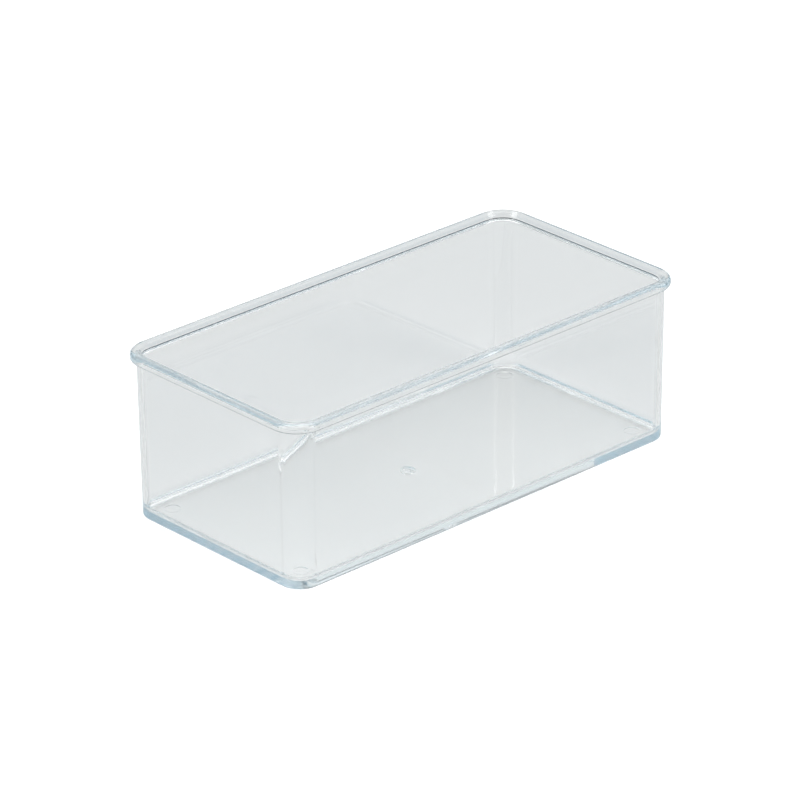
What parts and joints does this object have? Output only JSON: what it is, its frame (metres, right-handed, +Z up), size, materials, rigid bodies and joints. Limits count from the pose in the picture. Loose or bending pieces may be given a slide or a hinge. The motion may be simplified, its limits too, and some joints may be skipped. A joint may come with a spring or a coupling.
{
  "type": "drawer organizer bin",
  "caption": "Clear open rectangular bin with rounded corners and a beaded rim, which stands beside others in a drawer and holds small craft supplies or parts.",
  "frame": {"origin": "middle of the underside, on the surface that the bin stands on", "axes": "+X along the long sides, +Y along the short sides, +Z up out of the open top"},
  "size_m": [0.1524, 0.0756, 0.0516],
  "materials": {
    "clear_plastic": "clear polished polystyrene, colourless with a faint cool cast in thick sections"
  },
  "bodies": {
    "root": {"organizer_bin": "clear_plastic"}
  },
  "joints": []
}
